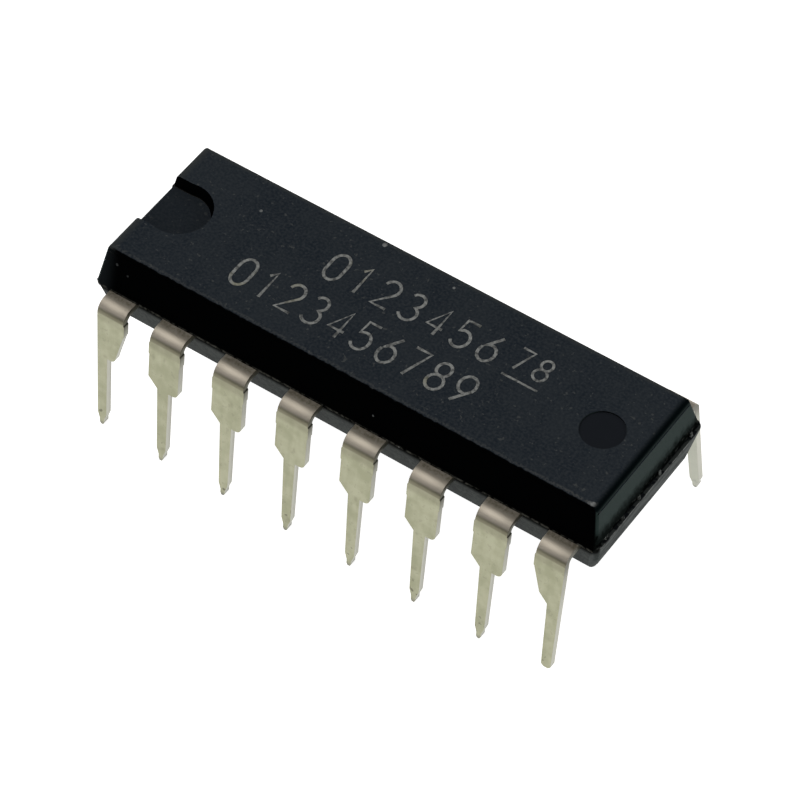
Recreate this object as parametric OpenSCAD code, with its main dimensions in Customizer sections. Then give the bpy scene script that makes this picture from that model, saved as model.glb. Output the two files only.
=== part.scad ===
/* [Leads] */
// Leads along each long side
leads_per_side = 8; // [6:2:10]
// Distance between neighbouring leads
pitch = 2.54; // [2.4:0.01:2.8]
// Thickness of the lead frame sheet
sheet_t = 0.25; // [0.2:0.01:0.3]
// Width of a leg
leg_w = 0.45; // [0.38:0.01:0.55]
// Width of the shoulder above a leg
shoulder_w = 1.2; // [1:0.02:1.5]
// Reach of a corner lead's shoulder from its centre line, at the bend
corner_reach = 0.86; // [0.7:0.01:0.95]
// Reach of a corner lead's shoulder just above its step
corner_foot = 0.56; // [0.4:0.01:0.65]
// Side of the body to the outer face of a leg, carried up to the top of the sheet
leg_out = 0.68; // [0.6:0.01:0.95]
// Outer radius of the bend
bend_r = 0.45; // [0.38:0.01:0.5]
// Outward lean of the legs
splay = 7.5; // [3:0.5:10]
// Top of the sheet down to the lead tips
lead_drop = 5.46; // [5:0.02:6]
// Top of the sheet down to the step where the shoulder ends
step_drop = 2.3; // [2:0.05:2.6]
// Corner radius of the step
step_r = 0.2; // [0.1:0.01:0.25]
// How far the edge of a leg nearer the notch draws in on its way to the tip
leg_taper = 0.09; // [0.02:0.01:0.12]
// Width across the pointed tip
tip_w = 0.18; // [0.12:0.01:0.3]
// Length of the pointed tip with its taper
tip_l = 0.52; // [0.4:0.02:0.8]
// Length of the taper
tip_taper = 0.28; // [0.15:0.01:0.35]
// How far the tie bar stubs stand out of a shoulder
stub_out = 0.03; // [0.02:0.01:0.09]
// Top of the sheet down to the stubs
stub_drop = 0.42; // [0.4:0.02:0.6]
// Height of a stub
stub_h = 0.5; // [0.3:0.05:0.7]

/* [Worn leads] */
// Lead that was trimmed short
trimmed_lead = 8; // [1:1:12]
// Top of the sheet down to the end of the trimmed lead
trimmed_drop = 5.08; // [4.6:0.02:5.3]
// Lean of the first lead, which is pushed in a little
first_splay = 6.2; // [3:0.1:7.5]
// Lead that is bent outwards
bent_lead = 9; // [1:1:12]
// Lean of the bent lead
bent_splay = 10; // [7.5:0.5:15]
// How far the bent lead is pulled out of line
bent_out = 0.14; // [0.02:0.01:0.2]

/* [Resin body] */
// Resin beyond the centre of the outermost leads
body_end = 0.86; // [0.6:0.01:1.2]
// Width across the foot of the upper half
body_w = 6.2; // [6:0.05:6.6]
// Height above the top of the sheet
upper_h = 1.55; // [1.3:0.01:1.8]
// Height below the top of the sheet
lower_h = 1.54; // [1.3:0.01:1.8]
// Draft of the upper end faces
end_draft = 10.5; // [4:0.5:14]
// Draft of the upper side faces
side_draft = 14.5; // [7:0.5:16]
// Draft of all faces of the lower half
lower_draft = 12; // [5:0.5:14]
// Rounding of the top edges at the ends
end_edge_r = 0.2; // [0.14:0.01:0.25]
// Rounding of the top edges along the sides
side_edge_r = 0.11; // [0.08:0.01:0.13]
// Rounding of the bottom edges
bottom_edge_r = 0.12; // [0.08:0.01:0.2]
// Rounding of the upright corners of the upper half at the mark end
corner_r = 0.22; // [0.15:0.01:0.4]
// Rounding of the upright corners of the upper half at the notch end
notch_corner_r = 0.36; // [0.25:0.01:0.45]
// Rounding of the upright corners of the lower half at the notch end
sharp_corner_r = 0.08; // [0.06:0.01:0.2]
// Rounding of the upright corners of the lower half at the mark end
round_corner_r = 0.38; // [0.25:0.01:0.5]
// Offset of the lower half across the body, from the two mould halves
slip_y = 0.12; // [0.02:0.01:0.16]

/* [Top marks] */
// Half width of the end notch
notch_r = 1.1; // [0.8:0.05:1.4]
// Length of the end notch
notch_l = 2.06; // [1.6:0.02:2.6]
// Depth of the end notch
notch_depth = 0.46; // [0.3:0.02:0.7]
// Draft of the wall of the notch
notch_draft = 15; // [5:1:20]
// Rounding of the notch floor at the end of the body
notch_lip_r = 0.22; // [0.1:0.01:0.3]
// Rounding of the upright edges where the notch opens
notch_mouth_r = 0.2; // [0.1:0.01:0.3]
// Diameter of the ejector pin mark
mark_d = 1.5; // [1:0.05:2]
// End of the top face to the centre of the mark
mark_inset = 1.6; // [1.2:0.05:2.5]
// Offset of the mark from the middle line
mark_off = 0.1; // [0:0.05:0.3]
// Depth of the mark
mark_depth = 0.05; // [0.03:0.01:0.1]

/* [Broken edge] */
// Depth of the break along the foot of the upper end face
break_depth = 0.12; // [0.08:0.01:0.15]
// Height of the break on its high side
break_high = 0.52; // [0.4:0.02:0.64]
// Height of the break on its low side
break_low = 0.26; // [0.2:0.02:0.36]
// Rib of flash on the high side of the break, out from the middle line
rib_high = 2.6; // [2.2:0.05:2.6]
// Second rib, out from the middle line on the same side
rib_middle = 0.75; // [0.4:0.05:1.4]
// Third rib, out from the middle line on the low side
rib_low = 0.45; // [0.1:0.05:0.6]
// Distance between the last ribs
rib_gap = 0.94; // [0.7:0.01:1]
// Width of a rib
rib_w = 0.12; // [0.08:0.01:0.25]
// Height of a rib
rib_h = 0.18; // [0.08:0.01:0.2]
// How far the break dips at each rib
rib_dip = 0.12; // [0.02:0.01:0.16]

/* [Inside] */
// Length of the die paddle
paddle_l = 3.6; // [3:0.1:4]
// Width of the die paddle
paddle_w = 2.6; // [2.2:0.1:2.8]
// Drop of the paddle below the sheet
downset = 0.3; // [0.28:0.02:0.4]
// Length of the sloping part of a tie bar
jog_l = 0.6; // [0.4:0.05:0.8]
// Width of the tie bars
tie_w = 0.4; // [0.3:0.05:0.6]
// Resin over the cut end of a tie bar
tie_cover = 0.1; // [0.05:0.01:0.3]
// Length of the die
die_l = 2; // [1.6:0.1:2.4]
// Width of the die
die_w = 1.6; // [1.2:0.1:1.9]
// Thickness of the die
die_t = 0.3; // [0.2:0.02:0.4]
// Thickness of the die attach
attach_t = 0.04; // [0.02:0.01:0.06]
// Margin of the die attach around the die
attach_margin = 0.08; // [0.04:0.01:0.15]
// Length of a lead's wide root inside the resin
root_l = 0.7; // [0.6:0.05:0.9]
// Diameter of the anchor hole in a root
anchor_d = 0.4; // [0.3:0.05:0.45]
// Width of a finger at its root
finger_w = 0.44; // [0.36:0.02:0.46]
// Width of a finger at its tip
finger_tip_w = 0.3; // [0.24:0.02:0.34]
// Gap between paddle and finger tips at the sides
fan_gap_y = 0.75; // [0.65:0.05:0.8]
// Gap between paddle and finger tips at the ends
fan_gap_x = 1.3; // [1.1:0.05:1.4]
// Turn of the outermost finger tip from the side towards the end
fan_angle = 75; // [70:1:80]
// Diameter of a bond wire
wire_d = 0.034; // [0.024:0.002:0.05]
// Diameter of the ball at the die
ball_d = 0.09; // [0.07:0.01:0.1]
// Height of the ball
ball_h = 0.03; // [0.02:0.005:0.04]
// Rise of a bond wire over its ends
loop_h = 0.32; // [0.2:0.02:0.45]
// Bond pads in from the edge of the die
pad_inset = 0.16; // [0.12:0.01:0.25]
// Stitch in from the end of the finger
stitch_inset = 0.12; // [0.08:0.01:0.2]

/* [Hidden] */
$fn = 48;
lead_count = 2 * leads_per_side;
sheet_z = lead_drop;
upper_l = (leads_per_side - 1) * pitch + 2 * body_end;
top_l = upper_l - 2 * upper_h * tan(end_draft);
top_w = body_w - 2 * upper_h * tan(side_draft);
bottom_l = upper_l - 2 * lower_h * tan(lower_draft);
bottom_w = body_w - 2 * lower_h * tan(lower_draft);
row_reach = body_w / 2 + leg_out;
top_z = sheet_z + upper_h;
bottom_z = sheet_z - lower_h;
bend_inner_r = bend_r - sheet_t;
bend_steps = 9;
arc_steps = 5;
paddle_top = sheet_z - downset;
attach_top = paddle_top + attach_t;
die_top = attach_top + die_t;
fan_x = paddle_l / 2 + fan_gap_x;
fan_y = paddle_w / 2 + fan_gap_y;
rib_count = 5;
wire_steps = 8;
wire_sides = 6;
// Rounding cutters are a little wider than the radius, so they cross the faces and never just touch them
cross_ratio = 1.03;
// Cutters and crossing pieces reach this far past what they cut
reach = 1;

function two_digits(i) = i < 10 ? str("0", i) : str(i);
function lead_name(i) = str("lead_", two_digits(i));
function wire_name(i) = str("bond_wire_", two_digits(i));

// Place of a lead in its own row, from 1, and its distance along the body
function row_place(i) = i > leads_per_side ? i - leads_per_side : i;
function lead_x(k) = (k - (leads_per_side + 1) / 2) * pitch;
function splay_of(i) = i == bent_lead ? bent_splay : i == 1 ? first_splay : splay;
function lean_drop(a) = bend_r + (lead_drop - bend_r) * cos(a) / cos(splay);
function row_out(i) = i == bent_lead ? row_reach + bent_out : row_reach;
function drop_of(i) = i == trimmed_lead ? trimmed_drop : min(lead_drop, lean_drop(splay_of(i)));

// Points of an arc from angle a to angle b
function arc(c, r, a, b, steps) = [
    for (s = [0 : steps]) c + r * [cos(a + (b - a) * s / steps), sin(a + (b - a) * s / steps)]
];

// Fan of the finger tips, as a turn from the side of the die towards its end
function fan_rank(k) = abs(lead_x(k)) / pitch - 0.5;
function fan_turn(k) = fan_angle * (2 * fan_rank(k) + 1) / leads_per_side;
function fan_point(k, rx, ry) = [sign(lead_x(k)) * rx * sin(fan_turn(k)), -ry * cos(fan_turn(k))];
function finger_end(k) = fan_point(k, fan_x, fan_y);
function pad_point(k) = fan_point(k, die_l / 2 - pad_inset, die_w / 2 - pad_inset);
function toward(a, b, d) = a + (b - a) * d / norm(b - a);
function root_x(k) = lead_x(k) + (shoulder_right(k) - shoulder_left(k)) / 2;
function root_point(k) = [root_x(k), -body_w / 2 + root_l];
function stitch_point(k) = toward(finger_end(k), root_point(k), stitch_inset);

// Reach of the shoulder to each side of the lead's centre line
function shoulder_left(k) = k == 1 ? leg_w / 2 : k == leads_per_side ? corner_reach : shoulder_w / 2;
function shoulder_right(k) = k == leads_per_side ? leg_w / 2 : k == 1 ? corner_reach : shoulder_w / 2;
function foot_left(k) = k == leads_per_side ? corner_foot : shoulder_left(k);
function foot_right(k) = k == 1 ? corner_foot : shoulder_right(k);

// Edge of a shoulder from the bend to its foot, with the stub of the tie bar
function shoulder_edge(side, top, foot) = [
    [side * top, reach],
    [side * top, -stub_drop],
    [side * (top + stub_out), -stub_drop - stub_out],
    [side * (top + stub_out), -stub_drop - stub_h],
    [side * top, -stub_drop - stub_h - stub_out],
];
function left_edge(k) = k == 1
    ? [[-leg_w / 2, reach]]
    : concat(shoulder_edge(-1, shoulder_left(k), foot_left(k)), [
        [-foot_left(k), -step_drop + foot_left(k) - leg_w / 2],
        [-leg_w / 2, -step_drop],
    ]);
function right_edge(k) = k == leads_per_side
    ? [[leg_w / 2, reach]]
    : concat(
        shoulder_edge(1, shoulder_right(k), foot_right(k)),
        arc([foot_right(k) - step_r, -step_drop + step_r], step_r, 0, -90, arc_steps),
        [[leg_w / 2, -step_drop]]
    );

// Half of a pointed tip, and half of a blunt cut, both about the middle of the leg's lower end
foot_mid = leg_taper / 2;
foot_w = leg_w - leg_taper;
function pointed_half(side, drop) = [
    [foot_mid + side * foot_w / 2, -drop + tip_l],
    [foot_mid + side * tip_w / 2, -drop + tip_l - tip_taper],
    [foot_mid + side * tip_w / 2, -drop + tip_w / 2],
    [foot_mid + side * tip_w / 4, -drop],
];
function blunt_half(side, drop) = [
    [foot_mid + side * foot_w / 2, -drop + tip_w / 2],
    [foot_mid + side * (foot_w - tip_w) / 2, -drop],
];
function tip_half(i, side, drop) = i == trimmed_lead ? blunt_half(side, drop) : pointed_half(side, drop);
function reversed(points) = [for (s = [len(points) - 1 : -1 : 0]) points[s]];

// Front view of a lead, with its height measured from the top of the sheet
module lead_outline(i) {
    k = row_place(i);
    drop = drop_of(i);
    polygon(concat(
        left_edge(k),
        tip_half(i, -1, drop),
        reversed(tip_half(i, 1, drop)),
        reversed(right_edge(k))
    ));
}

// Side view of a bent lead: run out of the body, bend and leaning leg
module bent_sheet(lean, out, run_start) {
    tangent = bend_r * (1 - sin(lean)) / cos(lean);
    centre = [out - tangent, -bend_r];
    leg_l = lead_drop + reach;
    down = [sin(lean), -cos(lean)];
    outer = arc(centre, bend_r, 90, lean, bend_steps);
    inner = arc(centre, bend_inner_r, lean, 90, bend_steps);
    polygon(concat(
        [[run_start, 0]],
        outer,
        [outer[bend_steps] + leg_l * down, inner[0] + leg_l * down],
        inner,
        [[run_start, -sheet_t]]
    ));
}

// Part of a lead outside the resin, and a short way into it
module lead_outside(i) {
    k = row_place(i);
    width = 2 * (corner_reach + reach);
    translate([lead_x(k), 0, sheet_z])
        intersection() {
            translate([width / 2, 0, 0])
                rotate([90, 0, -90])
                    linear_extrude(width)
                        bent_sheet(splay_of(i), row_out(i), body_w / 2 - root_l);
            translate([0, -body_w / 2 + root_l, 0])
                rotate([90, 0, 0])
                    linear_extrude(row_out(i) + reach)
                        lead_outline(i);
        }
}

// Flat strip between two points, as a tapering quadrilateral
module strip(a, b, width_a, width_b) {
    side = [a.y - b.y, b.x - a.x] / norm(b - a);
    polygon([a + side * width_a / 2, b + side * width_b / 2, b - side * width_b / 2, a - side * width_a / 2]);
}

// Finger from the root to its tip by the paddle
module lead_inside(i) {
    k = row_place(i);
    translate([0, 0, sheet_z - sheet_t])
        linear_extrude(sheet_t)
            strip(root_point(k) - [0, root_l / 3], finger_end(k), finger_w, finger_tip_w);
}

module lead(i) {
    k = row_place(i);
    rotate([0, 0, i > leads_per_side ? 180 : 0])
        difference() {
            union() {
                lead_outside(i);
                lead_inside(i);
            }
            translate([root_x(k), (root_l - body_w) / 2, sheet_z - sheet_t - reach])
                cylinder(d = anchor_d, h = sheet_t + 2 * reach);
        }
}

// Corner cutter: a square with a round hollow, which leaves a round edge of radius r
module rounding(r) {
    difference() {
        square(r + reach);
        circle(r * cross_ratio);
    }
}

// Section of one mould half, with its outer edge rounded
module half_section(foot, top, h, edge_r) {
    difference() {
        polygon([[-foot / 2, 0], [-top / 2, h], [top / 2, h], [foot / 2, 0]]);
        for (side = [0, 1])
            mirror([side, 0])
                translate([top / 2 - edge_r, h - edge_r])
                    rounding(edge_r);
    }
}

// Upright corner cutter, which leans with the two faces that meet there
module corner_cut(foot, top, h, r) {
    lean = [(top.x - foot.x) / 2, (top.y - foot.y) / 2, h];
    l = norm(lean);
    translate([foot.x / 2 - r, foot.y / 2 - r, 0])
        rotate([-asin(lean.y / l), atan2(lean.x, lean.z), 0])
            translate([0, 0, -reach])
                linear_extrude(l + 2 * reach)
                    rounding(r);
}

// One mould half: foot and top give its length and width, and each pair of radii
// is for the ends and the sides, or for the corners at the mark end and at the notch end
module mould_half(foot, top, h, edge_r, upright_r) {
    difference() {
        intersection() {
            translate([0, foot.y / 2, 0])
                rotate([90, 0, 0])
                    linear_extrude(foot.y)
                        half_section(foot.x, top.x, h, edge_r.x);
            translate([-foot.x / 2, 0, 0])
                rotate([90, 0, 90])
                    linear_extrude(foot.x)
                        half_section(foot.y, top.y, h, edge_r.y);
        }
        for (x = [0, 1], y = [0, 1])
            mirror([x, 0, 0])
                mirror([0, y, 0])
                    corner_cut(foot, top, h, upright_r[x]);
    }
}

module upper_half() {
    translate([0, 0, sheet_z])
        mould_half(
            [upper_l, body_w], [top_l, top_w], upper_h,
            [end_edge_r, side_edge_r], [corner_r, notch_corner_r]
        );
}

module lower_half() {
    translate([0, slip_y, sheet_z])
        mirror([0, 0, 1])
            mould_half(
                [upper_l, body_w], [bottom_l, bottom_w], lower_h,
                [bottom_edge_r, bottom_edge_r], [round_corner_r, sharp_corner_r]
            );
}

// Break along the foot of the upper end face, higher on one side, with a dip at each rib
function rib_place(n) = n == 0 ? rib_high : n == 1 ? rib_middle : -rib_low - (n - 2) * rib_gap;
function break_h(y) = break_low + (break_high - break_low) * (y / body_w + 1 / 2);
module end_break() {
    w = body_w / 2 + reach;
    translate([upper_l / 2 - break_depth, 0, sheet_z])
        rotate([90, 0, 90])
            linear_extrude(reach)
                polygon(concat(
                    [[-w, 0], [w, 0], [w, break_high]],
                    [
                        for (n = [0 : rib_count - 1], side = [2, -1, -4])
                            let (y = rib_place(n) + side * rib_w)
                            [y, break_h(y) - (side == -1 ? rib_dip : 0)]
                    ],
                    [[-w, break_low]]
                ));
}

// Ribs of flash left in the break, just behind the faces above and below it
module ribs() {
    for (n = [0 : rib_count - 1])
        translate([upper_l / 2, rib_place(n), sheet_z])
            rotate([90, 0, 0])
                linear_extrude(rib_w)
                    polygon([
                        [-2 * break_depth, -sheet_t],
                        [-sheet_t / 2, -sheet_t],
                        [-sheet_t / 8, 0],
                        [-sheet_t / 3, rib_h],
                        [-2 * break_depth, rib_h],
                    ]);
}

// Cutter along the end of the notch floor, which leaves its edge round
module notch_lip() {
    floor_end = top_l / 2 + notch_depth * tan(end_draft);
    centre_x = floor_end + notch_lip_r * (tan(end_draft) - 1 / cos(end_draft));
    half_w = notch_r - notch_depth * tan(notch_draft);
    translate([-centre_x, half_w, top_z - notch_depth - notch_lip_r])
        rotate([90, 0, 0])
            linear_extrude(2 * half_w)
                mirror([1, 0])
                    rounding(notch_lip_r);
}

// Cutters where the wall of the notch meets the end face, which leave both edges round
module notch_mouth() {
    floor_end = top_l / 2 + notch_depth * tan(end_draft);
    floor_r = notch_r - notch_depth * tan(notch_draft);
    translate([0, 0, top_z - notch_depth])
        intersection() {
            translate([-top_l, -body_w, 0])
                cube([2 * top_l, 2 * body_w, notch_depth + reach]);
            for (side = [0, 1])
                mirror([1, 0, 0])
                    mirror([0, side, 0])
                        corner_cut([2 * floor_end, -2 * floor_r], [top_l, -2 * notch_r], notch_depth, notch_mouth_r);
        }
}

// End notch with a drafted wall, open to the end of the body
module notch() {
    centre_x = -top_l / 2 + notch_l - notch_r;
    floor_r = notch_r - notch_depth * tan(notch_draft);
    rim_r = notch_r + reach * tan(notch_draft);
    translate([centre_x, 0, top_z - notch_depth]) {
        cylinder(r1 = floor_r * cross_ratio, r2 = rim_r * cross_ratio, h = notch_depth + reach);
        rotate([90, 0, -90])
            linear_extrude(notch_l + reach)
                polygon([
                    [-floor_r, 0],
                    [floor_r, 0],
                    [rim_r, notch_depth + reach],
                    [-rim_r, notch_depth + reach],
                ]);
    }
}

module ejector_mark() {
    translate([top_l / 2 - mark_inset, mark_off, top_z - mark_depth])
        cylinder(d = mark_d, h = mark_depth + reach);
}

module package_body() {
    color([0.13, 0.15, 0.16])
        difference() {
            union() {
                difference() {
                    upper_half();
                    end_break();
                }
                lower_half();
                ribs();
            }
            notch();
            notch_lip();
            notch_mouth();
            ejector_mark();
            for (i = [1 : lead_count])
                lead(i);
            die_paddle();
            die_attach();
            die();
            for (i = [1 : lead_count])
                bond_wire(i);
        }
}

// Slope and straight run of one tie bar, seen from the side
module tie_bar_section() {
    jog = paddle_l / 2 + jog_l;
    end = upper_l / 2 - break_depth - tie_cover;
    polygon([
        [paddle_l / 2, -downset - sheet_t],
        [jog, -sheet_t],
        [end, -sheet_t],
        [end, 0],
        [jog, 0],
        [paddle_l / 2, -downset],
    ]);
}

module die_paddle() {
    color([0.72, 0.7, 0.66]) {
        translate([-paddle_l / 2, -paddle_w / 2, paddle_top - sheet_t])
            cube([paddle_l, paddle_w, sheet_t]);
        for (side = [0, 180])
            rotate([0, 0, side])
                translate([0, tie_w / 2, sheet_z])
                    rotate([90, 0, 0])
                        linear_extrude(tie_w)
                            tie_bar_section();
    }
}

module die_attach() {
    attach_l = die_l + 2 * attach_margin;
    attach_w = die_w + 2 * attach_margin;
    color([0.6, 0.6, 0.58])
        translate([-attach_l / 2, -attach_w / 2, paddle_top])
            cube([attach_l, attach_w, attach_t]);
}

module die() {
    color([0.3, 0.33, 0.4])
        translate([-die_l / 2, -die_w / 2, attach_top])
            cube([die_l, die_w, die_t]);
}

// Ring of points round a bond wire, at turn t of its half oval path
function wire_ring(a, b, t) =
    let (
        span = norm(b - a),
        along = (b - a) / span,
        fall = sheet_z - die_top,
        centre = (a + b) / 2 - (b - a) / 2 * cos(t),
        height = die_top + fall * (1 - cos(t)) / 2 + loop_h * sin(t),
        run = span / 2 * sin(t),
        rise = fall / 2 * sin(t) + loop_h * cos(t),
        l = norm([run, rise])
    )
    [
        for (s = [0 : wire_sides - 1])
            let (
                turn = 360 * s / wire_sides,
                side = wire_d / 2 * cos(turn),
                out = wire_d / 2 * sin(turn),
                flat = centre + side * [-along.y, along.x] - out * rise / l * along
            )
            [flat.x, flat.y, height + out * run / l]
    ];

module wire_tube(a, b) {
    rings = [for (s = [0 : wire_steps]) wire_ring(a, b, 180 * s / wire_steps)];
    points = [for (ring = rings, p = ring) p];
    last = wire_steps * wire_sides;
    faces = concat(
        [[for (s = [0 : wire_sides - 1]) s]],
        [
            for (r = [0 : wire_steps - 1], s = [0 : wire_sides - 1], half = [0, 1])
                let (
                    p = r * wire_sides + s,
                    q = r * wire_sides + (s + 1) % wire_sides
                )
                half == 0 ? [p, p + wire_sides, q] : [q, p + wire_sides, q + wire_sides]
        ],
        [[for (s = [wire_sides - 1 : -1 : 0]) last + s]]
    );
    polyhedron(points, faces);
}

module bond_wire(i) {
    k = row_place(i);
    color([0.9, 0.72, 0.3])
        rotate([0, 0, i > leads_per_side ? 180 : 0]) {
            wire_tube(pad_point(k), stitch_point(k));
            translate([pad_point(k).x, pad_point(k).y, die_top])
                cylinder(d = ball_d, h = ball_h, $fn = 8);
        }
}

package_body();
die_paddle();
die_attach();
die();
for (i = [1 : lead_count]) {
    color([0.66, 0.66, 0.58]) lead(i);
    bond_wire(i);
}
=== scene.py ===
import bpy
import math
from mathutils import Matrix, Vector


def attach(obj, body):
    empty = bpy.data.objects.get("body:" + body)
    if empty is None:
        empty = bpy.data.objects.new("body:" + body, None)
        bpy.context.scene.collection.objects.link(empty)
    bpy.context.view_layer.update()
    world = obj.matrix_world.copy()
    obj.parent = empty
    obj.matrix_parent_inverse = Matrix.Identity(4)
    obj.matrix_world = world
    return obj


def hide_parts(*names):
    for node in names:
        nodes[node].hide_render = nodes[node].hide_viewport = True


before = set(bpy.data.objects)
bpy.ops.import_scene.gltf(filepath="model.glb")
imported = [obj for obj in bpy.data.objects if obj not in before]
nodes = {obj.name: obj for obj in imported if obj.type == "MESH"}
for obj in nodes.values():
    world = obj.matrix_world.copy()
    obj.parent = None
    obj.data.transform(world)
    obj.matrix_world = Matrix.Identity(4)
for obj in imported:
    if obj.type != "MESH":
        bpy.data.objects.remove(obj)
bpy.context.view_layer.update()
mm = 0.001
print("stage: frame loaded,", len(nodes), "nodes")


# small helpers

mergeGap = 2e-7                       # metres, points closer than this are one
flatAngle = math.radians(0.4)         # faces that lie flatter than this are joined


def deselectAll():
    if bpy.context.object and bpy.context.object.mode != "OBJECT":
        bpy.ops.object.mode_set(mode="OBJECT")
    bpy.ops.object.select_all(action="DESELECT")


def pickOnly(piece):
    deselectAll()
    piece.select_set(True)
    bpy.context.view_layer.objects.active = piece


def applyModifiers(piece):
    pickOnly(piece)
    for name in [m.name for m in piece.modifiers]:
        bpy.ops.object.modifier_apply(modifier=name)


def freeCopy(node, name):
    # a merged copy of a CAD node, ready for bevels; the node itself stays untouched
    source = nodes[node]
    pickOnly(source)
    bpy.ops.object.duplicate()
    piece = bpy.context.object
    piece.name = piece.data.name = name
    for key in [k for k in piece.keys() if k.startswith("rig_")]:
        del piece[key]
    piece.parent = None
    bpy.ops.object.mode_set(mode="EDIT")
    bpy.ops.mesh.select_all(action="SELECT")
    bpy.ops.mesh.remove_doubles(threshold=mergeGap)
    bpy.ops.mesh.dissolve_limited(angle_limit=flatAngle, delimit=set())
    bpy.ops.object.mode_set(mode="OBJECT")
    return piece


def addBevel(piece, width, steps, angle):
    bevel = piece.modifiers.new("edges", "BEVEL")
    bevel.width, bevel.segments = width, steps
    bevel.limit_method, bevel.angle_limit = "ANGLE", math.radians(angle)


def addFlats(piece, weight):
    # keeps flat faces evenly shaded beside the soft edges
    weights = piece.modifiers.new("flats", "WEIGHTED_NORMAL")
    weights.keep_sharp, weights.weight = True, weight


class Tap:
    # one output socket of a shader tree; sums and products on it add Math nodes
    def __init__(self, tree, socket=None):
        self.tree, self.socket = tree, socket

    def node(self, kind, settings=None, values=None, out=0):
        made = self.tree.nodes.new("ShaderNode" + kind)
        for name, value in (settings or {}).items():
            setattr(made, name, value)
        for key, value in (values or {}).items():
            if isinstance(value, Tap):
                self.tree.links.new(value.socket, made.inputs[key])
            else:
                made.inputs[key].default_value = value
        return Tap(self.tree, made.outputs[out])

    def maths(self, operation, first, second=0.0):
        return self.node("Math", {"operation": operation}, {0: first, 1: second})

    def __add__(self, other): return self.maths("ADD", self, other)
    def __sub__(self, other): return self.maths("SUBTRACT", self, other)
    def __mul__(self, other): return self.maths("MULTIPLY", self, other)
    def __rsub__(self, other): return self.maths("SUBTRACT", other, self)
    def __neg__(self): return self.maths("MULTIPLY", self, -1.0)
    def __abs__(self): return self.maths("ABSOLUTE", self)

    def most(self, other): return self.maths("MAXIMUM", self, other)
    def root(self): return self.maths("POWER", self, 0.5)

    def rise(self, low, high):
        # 0 below low, 1 above high, soft between
        soft = {"interpolation_type": "SMOOTHSTEP"}
        return self.node("MapRange", soft, {0: self, 1: low, 2: high, 3: 0.0, 4: 1.0})

    def fall(self, low, high):
        # 1 below low, 0 above high, soft between
        return 1 - self.rise(low, high)

    def between(self, low, high, soft):
        return self.rise(low - soft, low + soft) * self.fall(high - soft, high + soft)

    def axes(self, scale=None):
        # the three parts of a vector
        parts = [self.node("SeparateXYZ", {}, {0: self}, out=k) for k in (0, 1, 2)]
        return [part * scale for part in parts] if scale else parts

    def noise(self, scale, detail=2.0, stretch=(1, 1, 1)):
        place = self.node("Mapping", {}, {0: self, 3: stretch})
        values = {"Vector": place, "Scale": scale, "Detail": detail, "Roughness": 0.5}
        return self.node("TexNoise", {}, values)

    def blend(self, first, second):
        # self is the share of the second colour
        def rgba(c): return c if isinstance(c, Tap) else (*c, 1)
        values = {0: self, 6: rgba(first), 7: rgba(second)}
        return self.node("Mix", {"data_type": "RGBA"}, values, out=2)

    def bump(self, distance, strength):
        return self.node("Bump", {}, {"Height": self, "Distance": distance, "Strength": strength})


def newFinish(name, fixed):
    # a Principled material; fixed holds what is the same all over
    finish = bpy.data.materials.new(name)
    finish.use_nodes = True
    shader = finish.node_tree.nodes["Principled BSDF"]
    for key, value in fixed.items():
        shader.inputs[key].default_value = value
    start = Tap(finish.node_tree)
    return finish, shader, start.node("TexCoord", out="Object")


def wire(finish, shader, **links):
    for key, tap in links.items():
        finish.node_tree.links.new(tap.socket, shader.inputs[key.replace("_", " ")])


def giveFinish(piece, finish):
    piece.data.materials.clear()
    piece.data.materials.append(finish)


# camera, world, lights and floor

cameraSet = {
    "place": (48.236 * mm, -68.922 * mm, 107.052 * mm),
    "look": (-0.35940, 0.51607, -0.77749),
    "lens": 184.78,
    "sensor": 36,
    "clip": (0.005, 5),
    "roll": math.radians(-0.087),
}


def makeCamera(c):
    data = bpy.data.cameras.new("camera")
    data.lens, data.sensor_width = c["lens"], c["sensor"]
    data.clip_start, data.clip_end = c["clip"]
    camera = bpy.data.objects.new("camera", data)
    bpy.context.scene.collection.objects.link(camera)
    turn = Vector(c["look"]).to_track_quat("-Z", "Y").to_matrix().to_4x4()
    camera.matrix_world = Matrix.Translation(c["place"]) @ turn @ Matrix.Rotation(c["roll"], 4, "Z")
    bpy.context.scene.camera = camera


lightSet = {
    # name: azimuth, elevation, distance, width, height, brightness, colour
    "frontSoftbox": (-58, 62, 0.40, 0.36, 0.30, 1.5, (1.0, 0.98, 0.94)),
    "topPanel": (-20, 72, 0.40, 0.30, 0.26, 0.30, (1.0, 1.0, 1.0)),
    "backSoftbox": (148, 34, 0.45, 0.34, 0.14, 1.5, (1.0, 1.0, 1.0)),
    "leftSoftbox": (-105, 30, 0.45, 0.24, 0.12, 1.2, (1.0, 1.0, 1.0)),
    "rightSoftbox": (62, 24, 0.45, 0.22, 0.12, 0.9, (0.96, 1.0, 0.99)),
}


def makeLights(lights):
    for name, (azimuth, elevation, far, wide, high, bright, colour) in lights.items():
        a, e = math.radians(azimuth), math.radians(elevation)
        back = Vector((math.sin(a) * math.cos(e), -math.cos(a) * math.cos(e), math.sin(e)))
        data = bpy.data.lights.new(name, "AREA")
        data.shape, data.size, data.size_y = "RECTANGLE", wide, high
        data.energy, data.color = bright * math.pi * wide * high, colour
        lamp = bpy.data.objects.new(name, data)
        bpy.context.scene.collection.objects.link(lamp)
        turn = back.to_track_quat("Z", "Y").to_matrix().to_4x4()
        lamp.matrix_world = Matrix.Translation(back * far) @ turn


worldSet = {"colour": (1, 1, 1, 1), "strength": 0.11}


def makeWorld(w):
    world = bpy.data.worlds.new("studio")
    world.use_nodes = True
    backdrop = world.node_tree.nodes["Background"]
    backdrop.inputs[0].default_value = w["colour"]
    backdrop.inputs[1].default_value = w["strength"]
    bpy.context.scene.world = world


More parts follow.
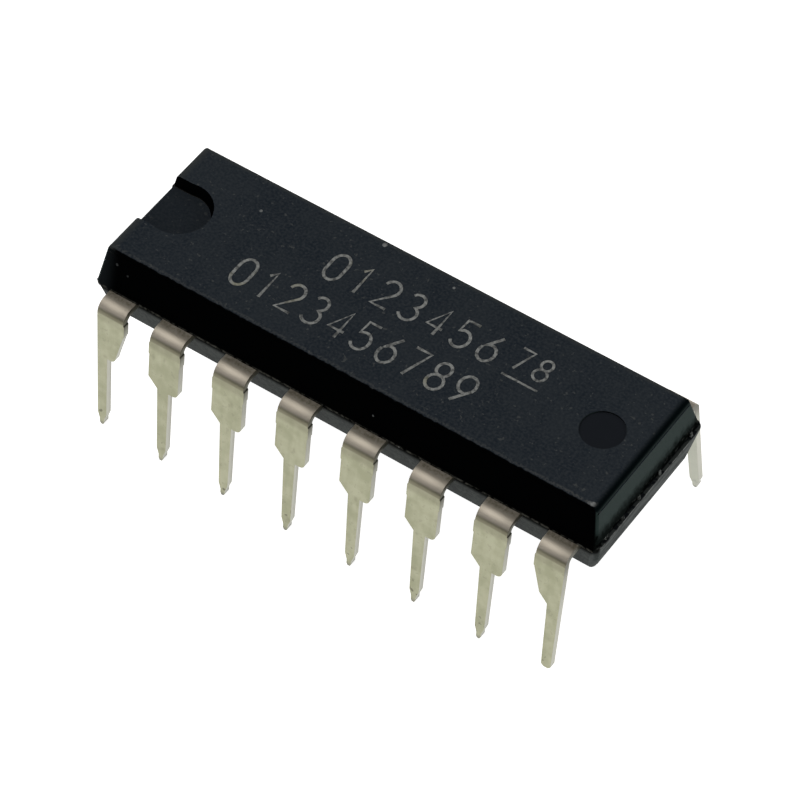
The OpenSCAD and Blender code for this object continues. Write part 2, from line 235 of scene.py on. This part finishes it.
floorSet = {
    "size": 1.6,
    "cuts": 7,
    "glow": 0.95,                     # the middle of the table is lit from below
    "glowFades": (0.055, 0.12),       # metres from the middle
    "mottle": (60, 3),
    "dark": (0.78, 0.78, 0.78),
    "pale": (0.82, 0.82, 0.82),
    "unlit": (0.0, 0.0, 0.0),
    "lit": (1.0, 1.0, 1.0),
}


def makeFloor(f):
    deselectAll()
    bpy.ops.mesh.primitive_plane_add(size=f["size"], location=(0, 0, 0))
    floor = bpy.context.object
    floor.name = "floor"
    bpy.ops.object.mode_set(mode="EDIT")
    bpy.ops.mesh.subdivide(number_cuts=f["cuts"])
    bpy.ops.object.mode_set(mode="OBJECT")
    fixed = {"Roughness": 0.9, "Specular IOR Level": 0.0, "Emission Strength": 1.0}
    finish, shader, place = newFinish("floorPanel", fixed)
    x, y = place.axes()[:2]
    glow = (x * x + y * y).root().fall(*f["glowFades"]) * f["glow"]
    wire(
        finish, shader,
        Base_Color=place.noise(*f["mottle"]).blend(f["dark"], f["pale"]),
        Emission_Color=glow.blend(f["unlit"], f["lit"]),
    )
    giveFinish(floor, finish)


makeCamera(cameraSet)
makeLights(lightSet)
makeWorld(worldSet)
makeFloor(floorSet)
bpy.context.scene.view_settings.view_transform = "Standard"
print("stage: camera, lights and floor")


# moulded body

resinSet = {
    "edge": 0.018 * mm,               # softened mould edges
    "edgeSteps": 2,
    "bevelAngle": 32,                 # degrees
    "smoothAngle": 34,                # degrees
    "flatWeight": 60,
    "relief": (0.012 * mm, 0.6),      # bump height and strength
    # landmarks in mm
    "top": 7.01,                      # height of the top face
    "parting": 5.46,                  # height of the parting plane
    "frontEdge": -2.70,               # near edge of the top face
    "markCentre": (7.863, 0.10),      # ejector mark
    "markRadius": 0.75,
    "notchFoot": 6.45,                # the notch wall stands above this
    "notchEnd": -7.1,                 # and ends here along the body
    "notchHalf": 1.35,                # half its width
    "breakStart": 9.60,               # the break at the foot of the mark end
    "ledgeStart": 9.645,              # its ledge, outside its back wall
    "chipsAndGlints": [
        # x, y, radius, strength: pale chips and grains on the top face; the last three make a
        # painted highlight at the mark end's near corner
        (-2.09, 2.50, 0.10, 1.0), (-6.25, 1.41, 0.07, 0.7), (0.78, 2.26, 0.06, 0.8),
        (9.22, -2.52, 0.12, 1.0), (9.10, -2.54, 0.10, 0.35), (9.31, -2.44, 0.08, 0.25),
    ],
    "sideChips": [
        # x, z, radius, strength: the same on the near side
        (-8.94, 6.57, 0.06, 0.25), (-8.49, 6.34, 0.05, 0.2),
        (1.24, 6.11, 0.05, 0.5), (2.34, 5.47, 0.05, 0.9),
    ],
    # textures: scale per metre, detail
    "clouds": (420, 3),
    "grain": (11000, 3),
    "grit": (6500, 2),
    "scratch": (2600, 2, (1.0, 0.35, 1.0)),
    "rubble": (3400, 3),
    # the coat that stands for each part's sheen
    "lowShine": 0.25,
    "lipShine": 0.06,
    "endShine": 0.12,
    "upperShine": 0.10,
    # base colours
    "topDark": (0.0185, 0.0260, 0.0360),
    "topPale": (0.0290, 0.0370, 0.0460),
    "topGrain": (0.0430, 0.0510, 0.0600),
    "topGrit": (0.115, 0.120, 0.118),
    "edgeHighlight": (0.095, 0.098, 0.098),
    "chipAndGlint": (0.30, 0.31, 0.31),
    "nearRoundShade": (0.0010, 0.0012, 0.0014),
    "mark": (0.0165, 0.0195, 0.0250),
    "notchFloorShade": (0.0100, 0.0130, 0.0170),
    "rimHighlight": (0.062, 0.068, 0.068),
    "sideDark": (0.010, 0.0115, 0.0125),
    "sidePale": (0.018, 0.020, 0.021),
    "nearSideShade": (0.0008, 0.0009, 0.0010),
    "nearCornerLit": (0.0085, 0.0105, 0.0115),
    "sideChip": (0.16, 0.17, 0.17),
    "flash": (0.075, 0.075, 0.065),
    "endLitDark": (0.026, 0.041, 0.038),
    "endLitPale": (0.036, 0.053, 0.049),
    "endFootDark": (0.0028, 0.0038, 0.0034),
    "lowDark": (0.011, 0.016, 0.015),
    "lowPale": (0.032, 0.040, 0.037),
    "lipHighlight": (0.17, 0.175, 0.165),
    "crumb": (0.0050, 0.0060, 0.0056),
    "shade": (0.0020, 0.0022, 0.0020),
    "endRoundShade": (0.0026, 0.0052, 0.0060),
    "notchWallShade": (0.0012, 0.0015, 0.0018),
    "notchLine": (0.060, 0.055, 0.050),
    "tornDark": (0.0022, 0.0030, 0.0027),
    "tornPale": (0.030, 0.033, 0.031),
    "flake": (0.080, 0.090, 0.084),
    "rib": (0.150, 0.158, 0.150),
}


def resinFinish(r):
    fixed = {"IOR": 1.5, "Specular IOR Level": 0.0, "Coat Roughness": 0.36, "Coat IOR": 1.5}
    finish, shader, place = newFinish("resin", fixed)
    x, y, z = place.axes(1 / mm)
    nx, ny, nz = place.node("TexCoord", out="Normal").axes()
    clouds, grain, grit, scratch, rubble = [
        place.noise(*r[key]) for key in ("clouds", "grain", "grit", "scratch", "rubble")
    ]
    top, parting, front = r["top"], r["parting"], r["frontEdge"]

    # masks for the parts of the body
    upper = z.rise(parting - 0.01, parting + 0.01)
    onTop = (nz + (grit - 0.5) * 0.5).rise(0.62, 0.80) * upper
    endFace = abs(nx).rise(0.55, 0.85)
    nearTilt = (-ny).rise(0.03, 0.12) * upper
    nearSide = (-ny).rise(0.20, 0.40) * upper
    inNotch = x.fall(r["notchEnd"] - 0.1, r["notchEnd"])
    inNotch = inNotch * abs(y).fall(r["notchHalf"] - 0.1, r["notchHalf"])
    notchWallShade = nz.fall(0.5, 0.8) * z.rise(r["notchFoot"], r["notchFoot"] + 0.05) * inNotch

    def spotAt(u, v, cu, cv, size):
        du, dv = u - cu, v - cv
        area = size * size
        return (du * du + dv * dv + (grain - 0.5) * area * 1.6).fall(area * 0.15, area)

    # top face
    topTone = (clouds * 0.6 + scratch * 0.4).rise(0.35, 0.65).blend(r["topDark"], r["topPale"])
    topTone = grain.rise(0.30, 0.75).blend(topTone, r["topGrain"])
    topTone = (grit.rise(0.66, 0.72) * 0.5).blend(topTone, r["topGrit"])
    # a speckled painted highlight along the near edge, stronger towards the mark end's corner, and
    # painted shade, nearly black, over the rounding outside it
    ragged = y + (grit - 0.5) * 0.10
    nearEdge = ragged.between(front + 0.12, front + 0.22, 0.03)
    speckledGlint = grain.rise(0.30, 0.62) * (x.rise(6.0, 9.2) * 0.45 + 0.55)
    topTone = (nearEdge * speckledGlint * 0.8).blend(topTone, r["edgeHighlight"])
    # pale chips and grains, and a painted highlight at the mark end's near corner
    for cx, cy, size, strength in r["chipsAndGlints"]:
        topTone = (spotAt(x, y, cx, cy, size) * onTop * strength).blend(topTone, r["chipAndGlint"])
    topTone = ragged.fall(front + 0.07, front + 0.12).blend(topTone, r["nearRoundShade"])
    dx, dy = x - r["markCentre"][0], y - r["markCentre"][1]
    rim = [(r["markRadius"] + step) ** 2 for step in (-0.03, 0.03)]
    inMark = (dx * dx + dy * dy).fall(*rim) * onTop
    topTone = inMark.blend(topTone, r["mark"])
    # painted shade darkens the notch floor; painted highlights lighten the far edge and the notch
    # end's edge
    topTone = (z.fall(top - 0.41, top - 0.21) * 0.45).blend(topTone, r["notchFloorShade"])
    rimHighlight = (-x).rise(9.05, 9.36).most(y.rise(2.47, 2.64)) * z.rise(top - 0.21, top - 0.11)
    topTone = (rimHighlight * (grit * 0.4 + 0.5)).blend(topTone, r["rimHighlight"])

    # upper sides
    sideTone = grain.blend(r["sideDark"], r["sidePale"])
    # painted shade: the near side is nearly black, a little lighter towards the notch end's corner
    nearShadeTone = x.fall(-9.5, -8.85).blend(r["nearSideShade"], r["nearCornerLit"])
    for cx, cz, size, strength in r["sideChips"]:
        nearShadeTone = (spotAt(x, z, cx, cz, size) * strength).blend(nearShadeTone, r["sideChip"])
    foot = z.fall(parting + 0.05, parting + 0.09) * grit.rise(0.35, 0.65)
    nearShadeTone = (foot * 0.8).blend(nearShadeTone, r["flash"])
    sideTone = nearSide.blend(sideTone, nearShadeTone)

    # the mark end is painted paler and grey green than the top for the light it reflects, and
    # darker towards the break at its foot
    endFootDark = (z + (grit - 0.5) * 0.35).fall(parting + 0.38, parting + 0.85) * x.rise(8.0, 8.5)
    endLitTone = grain.blend(r["endLitDark"], r["endLitPale"])
    endLitTone = (endFootDark * 0.93).blend(endLitTone, r["endFootDark"])

    # lower half, with a ragged pale line where the two mould halves meet: flash along the edge,
    # with a painted highlight on it
    lowTone = (grain * 0.5 + scratch * 0.5).rise(0.38, 0.62).blend(r["lowDark"], r["lowPale"])
    lipHighlight = z.between(parting - 0.08, parting - 0.005, 0.015) * grit.rise(0.36, 0.60)
    lowTone = (lipHighlight * 0.8).blend(lowTone, r["lipHighlight"])
    rubble = rubble.rise(0.50, 0.58)
    crumbs = rubble * z.rise(parting - 0.22, parting - 0.05)
    crumbs = crumbs * x.rise(r["breakStart"] - 0.05, r["breakStart"])
    lowTone = (crumbs * 0.8).blend(lowTone, r["crumb"])
    # the near row's shade lies on the foot of the near side
    shade = z.rise(parting - 0.58, parting - 0.28) * (-ny).rise(0.3, 0.6) * 0.95
    lowTone = shade.blend(lowTone, r["shade"])

    walls = endFace.blend(sideTone, endLitTone)
    walls = upper.blend(lowTone, walls)
    tone = onTop.blend(walls, topTone)
    # painted shade, nearly black, where the top face rounds over into the mark end
    endRoundShade = x.rise(9.15, 9.39) * z.rise(top - 0.21, top - 0.07) * (1 - nearSide)
    tone = endRoundShade.blend(tone, r["endRoundShade"])
    # painted shade makes the notch wall nearly black; a thin pale line runs along its foot
    tone = notchWallShade.blend(tone, r["notchWallShade"])
    notchLine = notchWallShade * z.fall(6.565, 6.58) * x.fall(-8.3, -7.8)
    tone = (notchLine * 0.6).blend(tone, r["notchLine"])

    # the break: dark where the resin tore away, pale flakes on its ledge, ribs of flash
    onBreak = x.rise(r["breakStart"] - 0.02, r["breakStart"])
    onBreak = onBreak * x.fall(r["ledgeStart"] - 0.01, r["ledgeStart"])
    torn = onBreak * z.between(parting - 0.005, parting + 0.59, 0.01) * endFace
    tone = torn.blend(tone, grit.rise(0.52, 0.72).blend(r["tornDark"], r["tornPale"]))
    ledge = x.rise(r["ledgeStart"] - 0.005, r["ledgeStart"] + 0.015)
    ledge = ledge * z.between(parting - 0.012, parting + 0.012, 0.004)
    tone = (ledge * (1 - rubble) * 0.9).blend(tone, r["flake"])
    ribs = x.rise(r["ledgeStart"], r["ledgeStart"] + 0.015)
    ribs = ribs * z.between(parting + 0.01, parting + 0.22, 0.01)
    tone = (ribs * grit.rise(0.30, 0.60) * 0.9).blend(tone, r["rib"])

    # sheen: strongest on the lower half, patchy on its ends, none on the darkened foot of the mark
    # end or where it is torn
    patchy = 1 - endFace * scratch.fall(0.35, 0.62) * 0.35
    shine = (1 - upper) * (1 - shade) * (1 - crumbs * 0.7) * patchy
    shine = shine * (lipHighlight * r["lipShine"] + r["lowShine"])
    shine = shine + endFace * upper * (1 - endFootDark * 0.93) * r["endShine"]
    shine = shine + upper * (1 - endFace) * r["upperShine"]
    shine = shine * (1 - nearTilt) * (1 - notchWallShade) * (1 - torn) * (1 - endRoundShade)
    rough = 0.70 - inMark * 0.15
    relief = (grain * 0.6 + grit * 0.4) * onTop * (1 - inMark)
    relief = relief + (grain * 0.5 + scratch * 0.5) * (1 - onTop) * 0.6
    normal = relief.bump(*r["relief"])
    wire(finish, shader, Base_Color=tone, Roughness=rough, Coat_Weight=shine, Normal=normal)
    return finish


def makeBody(r):
    body = freeCopy("package_body", "bodyShell")
    addBevel(body, r["edge"], r["edgeSteps"], r["bevelAngle"])
    applyModifiers(body)
    pickOnly(body)
    bpy.ops.object.shade_smooth_by_angle(angle=math.radians(r["smoothAngle"]))
    addFlats(body, r["flatWeight"])
    applyModifiers(body)
    giveFinish(body, resinFinish(r))
    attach(body, "root")
    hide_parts("package_body")


makeBody(resinSet)
print("stage: resin body")


# leads

leadSet = {
    "count": 16,
    "edge": 0.022 * mm,               # rounding left by the stamping tool
    "edgeSteps": 2,
    "bevelAngle": 35,                 # degrees
    "flatWeight": 60,
    "relief": (0.01 * mm, 0.35),      # bump height and strength
    # landmarks in mm
    "bendFoot": 4.7,                  # the bend starts above this
    "row": 3.2,                       # the far row lies beyond this
    # textures: scale per metre, detail
    "blotches": (900, 3),
    "mottle": (2600, 3),
    "drawn": (1600, 2, (3.0, 3.0, 0.25)),
    "fine": (12000, 2),
    "stains": (2400, 3),
    "pits": (5200, 2),
    # base colours
    "tinDark": (0.285, 0.288, 0.192),
    "tinPale": (0.372, 0.370, 0.262),
    "stain": (0.20, 0.19, 0.13),
    "pit": (0.090, 0.085, 0.055),
    "farTin": (0.46, 0.47, 0.42),
    "bendDarkReflection": (0.145, 0.132, 0.092),
    "crownHighlight": (0.57, 0.52, 0.44),
    "flatDark": (0.17, 0.15, 0.11),
    "flatPale": (0.33, 0.30, 0.25),
    "shearedLeg": (0.415, 0.412, 0.350),
    "shearedShoulder": (0.305, 0.302, 0.250),
    "shearedBendShade": (0.085, 0.080, 0.055),
    "cutTip": (0.16, 0.155, 0.15),
}


def leadFinish(l):
    finish, shader, place = newFinish("dullTin", {"IOR": 1.45})
    x, y, z = place.axes(1 / mm)
    nx, _, nz = place.node("TexCoord", out="Normal").axes()
    blotches, mottle, drawn, fine, stains, pits = [
        place.noise(*l[key]) for key in ("blotches", "mottle", "drawn", "fine", "stains", "pits")
    ]
    tone = (blotches * 0.35 + mottle * 0.45 + drawn * 0.2).rise(0.36, 0.64)
    tone = tone.blend(l["tinDark"], l["tinPale"])
    tone = (stains.rise(0.60, 0.74) * 0.40).blend(tone, l["stain"])
    # dark pits, mostly near the tips
    pitted = pits.rise(0.62, 0.68) * (1 - z.rise(0.5, 1.4) * 0.75)
    tone = (pitted * 0.75).blend(tone, l["pit"])
    # the far row is paler and greyer
    tone = (y.rise(l["row"], l["row"] + 0.3) * 0.6).blend(tone, l["farTin"])
    # the bend: a painted dark reflection above its foot, and a painted highlight at its crown
    bend = z.rise(l["bendFoot"], l["bendFoot"] + 0.2)
    tone = (nz.rise(0.04, 0.24) * bend * 0.80).blend(tone, l["bendDarkReflection"])
    crownHighlight = nz.rise(0.45, 0.69) * bend
    tone = crownHighlight.blend(tone, l["crownHighlight"])
    # the flat run next to the resin: mottled stains, and painted shade for the dark resin it
    # reflects
    flat = abs(y).fall(3.24, 3.44) * z.rise(5.3, 5.4)
    flatShadeTone = (blotches * 0.5 + fine * 0.5).rise(0.35, 0.65).blend(l["flatDark"], l["flatPale"])
    tone = flat.blend(tone, flatShadeTone)
    # sheared side faces are paler and greyer; towards the resin painted shade turns them dark brown
    sheared = z.rise(2.9, 4.6).blend(l["shearedLeg"], l["shearedShoulder"])
    sheared = z.rise(4.35, 5.25).blend(sheared, l["shearedBendShade"])
    tone = abs(nx).rise(0.5, 0.8).blend(tone, sheared)
    # bare copper alloy shows at the sheared tips
    tone = (z.fall(0.02, 0.20) * 0.6).blend(tone, l["cutTip"])
    rough = blotches * 0.12 + crownHighlight * 0.14 + 0.33
    metal = 1 - flat * 0.55
    relief = fine * 0.4 + mottle * 0.35 + drawn * 0.25
    normal = relief.bump(*l["relief"])
    wire(finish, shader, Base_Color=tone, Roughness=rough, Metallic=metal, Normal=normal)
    return finish


def makeLeads(l):
    finish = leadFinish(l)
    for i in range(1, l["count"] + 1):
        node = "lead_%02d" % i
        lead = freeCopy(node, "leadStrip_%02d" % i)
        addBevel(lead, l["edge"], l["edgeSteps"], l["bevelAngle"])
        addFlats(lead, l["flatWeight"])
        pickOnly(lead)
        bpy.ops.object.shade_smooth()
        applyModifiers(lead)
        giveFinish(lead, finish)
        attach(lead, "root")
        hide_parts(node)


makeLeads(leadSet)
print("stage: leads")


# pieces inside the resin, which keep their CAD meshes

insideSet = {
    # node without its number: finish, dark, pale, roughness, metallic
    "die_paddle": ("silveredCopper", (0.62, 0.56, 0.48), (0.74, 0.68, 0.60), 0.30, 1.0),
    "die_attach": ("silverEpoxy", (0.50, 0.50, 0.48), (0.62, 0.62, 0.60), 0.45, 0.6),
    "die": ("silicon", (0.15, 0.17, 0.24), (0.22, 0.25, 0.33), 0.15, 0.4),
    "bond_wire": ("goldWire", (0.85, 0.62, 0.25), (0.92, 0.72, 0.33), 0.20, 1.0),
}


def innerFinish(name, dark, pale, rough, metal):
    finish, shader, place = newFinish(name, {"Metallic": metal})
    mottle = place.noise(2500, 2)
    wire(finish, shader, Base_Color=mottle.blend(dark, pale), Roughness=mottle * 0.1 + rough)
    return finish


innerFinishes = {kind: innerFinish(*words) for kind, words in insideSet.items()}
for name, node in nodes.items():
    kind = name.rstrip("_0123456789")
    if kind in innerFinishes:
        giveFinish(node, innerFinishes[kind])
print("stage: inside")


# counted digits on the top face

printSet = {
    "height": 7.012,                  # mm, a hair above the top face
    "thick": 0.004,                   # mm
    "rows": [
        # digits, first x, middle y, pitch, width, tall, stroke, all in mm
        ("0123456789", -5.44, -1.03, 0.95, 0.585, 1.175, 0.115),
        ("0123456", -3.09, 0.835, 0.99, 0.585, 1.155, 0.115),
        ("78", 4.01, 1.02, 0.80, 0.46, 0.90, 0.10),
    ],
    "underline": (3.98, 5.33, 0.21, 0.085),   # from x, to x, y, stroke
    "patches": (900, 2),
    "grit": (7500, 3),
    "dark": (0.12, 0.125, 0.125),
    "pale": (0.38, 0.39, 0.38),
    "ochre": (0.36, 0.34, 0.20),
}


def arcPoints(cx, cy, rx, ry, start, stop, steps=14):
    turn = [math.radians(start + (stop - start) * k / steps) for k in range(steps + 1)]
    return [(cx + rx * math.cos(t), cy + ry * math.sin(t)) for t in turn]


# single-stroke digits in a box 1 wide and 1 tall
digitStrokes = {
    "0": [
        arcPoints(0.5, 0.68, 0.5, 0.32, 0, 180) + arcPoints(0.5, 0.32, 0.5, 0.32, 180, 360)
        + [(1.0, 0.68)]
    ],
    "1": [[(0.22, 0.80), (0.55, 1.0), (0.55, 0.0)]],
    "2": [arcPoints(0.5, 0.72, 0.48, 0.28, 165, -30) + [(0.0, 0.0), (1.0, 0.0)]],
    "3": [
        arcPoints(0.46, 0.76, 0.44, 0.24, 150, -75) + arcPoints(0.46, 0.27, 0.52, 0.27, 75, -155)
    ],
    "4": [[(0.74, 0.0), (0.74, 1.0), (0.0, 0.28), (1.0, 0.28)]],
    "5": [[(0.92, 1.0), (0.16, 1.0), (0.10, 0.56)] + arcPoints(0.47, 0.32, 0.52, 0.32, 125, -150)],
    "6": [[(0.80, 1.0), (0.22, 0.56)] + arcPoints(0.5, 0.31, 0.5, 0.31, 150, -210)],
    "7": [[(0.0, 1.0), (1.0, 1.0), (0.34, 0.0)]],
    "8": [
        arcPoints(0.5, 0.76, 0.42, 0.24, -90, 270, 20),
        arcPoints(0.5, 0.27, 0.5, 0.27, -90, 270, 20),
    ],
    "9": [[(0.20, 0.0), (0.78, 0.44)] + arcPoints(0.5, 0.69, 0.5, 0.31, -30, 330)],
}


def makeStroke(points, p, pen):
    # one round-ended stroke: a curve with a round section, made a mesh and pressed flat
    bpy.ops.curve.primitive_bezier_curve_add(location=(0, 0, 0))
    stroke = bpy.context.object
    line = stroke.data
    line.splines.clear()
    spline = line.splines.new("POLY")
    spline.points.add(len(points) - 1)
    for knot, (u, v) in zip(spline.points, points):
        knot.co = (u * mm, v * mm, 0, 1)
    line.dimensions = "3D"
    line.bevel_depth = pen / 2 * mm
    line.bevel_resolution = 2
    line.use_fill_caps = True
    bpy.ops.object.convert(target="MESH")
    bpy.ops.object.mode_set(mode="EDIT")
    bpy.ops.mesh.select_all(action="SELECT")
    bpy.ops.mesh.remove_doubles(threshold=mergeGap / 2)
    bpy.ops.transform.resize(value=(1, 1, p["thick"] / pen), center_override=(0, 0, 0))
    bpy.ops.transform.translate(value=(0, 0, p["height"] * mm))
    bpy.ops.object.mode_set(mode="OBJECT")
    return bpy.context.object


def printFinish(p):
    finish, shader, place = newFinish("laserGrey", {"Specular IOR Level": 0.1})
    patches, grit = place.noise(*p["patches"]), place.noise(*p["grit"])
    tone = grit.rise(0.30, 0.65).blend(p["dark"], p["pale"])
    tone = (patches.rise(0.60, 0.72) * 0.4).blend(tone, p["ochre"])
    wire(finish, shader, Base_Color=tone, Roughness=grit * 0.2 + 0.6)
    return finish


def makePrint(p):
    strokes = []
    deselectAll()
    for digits, firstX, middleY, pitch, width, tall, pen in p["rows"]:
        for k, digit in enumerate(digits):
            left, foot = firstX + k * pitch, middleY - tall / 2
            for points in digitStrokes[digit]:
                placed = [(left + u * width, foot + v * tall) for u, v in points]
                strokes.append(makeStroke(placed, p, pen))
    x0, x1, y, pen = p["underline"]
    strokes.append(makeStroke([(x0, y), (x1, y)], p, pen))
    deselectAll()
    for stroke in strokes:
        stroke.select_set(True)
    bpy.context.view_layer.objects.active = strokes[0]
    bpy.ops.object.join()
    printed = bpy.context.object
    printed.name = printed.data.name = "countedDigits"
    giveFinish(printed, printFinish(p))
    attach(printed, "root")


makePrint(printSet)
print("stage: digits")
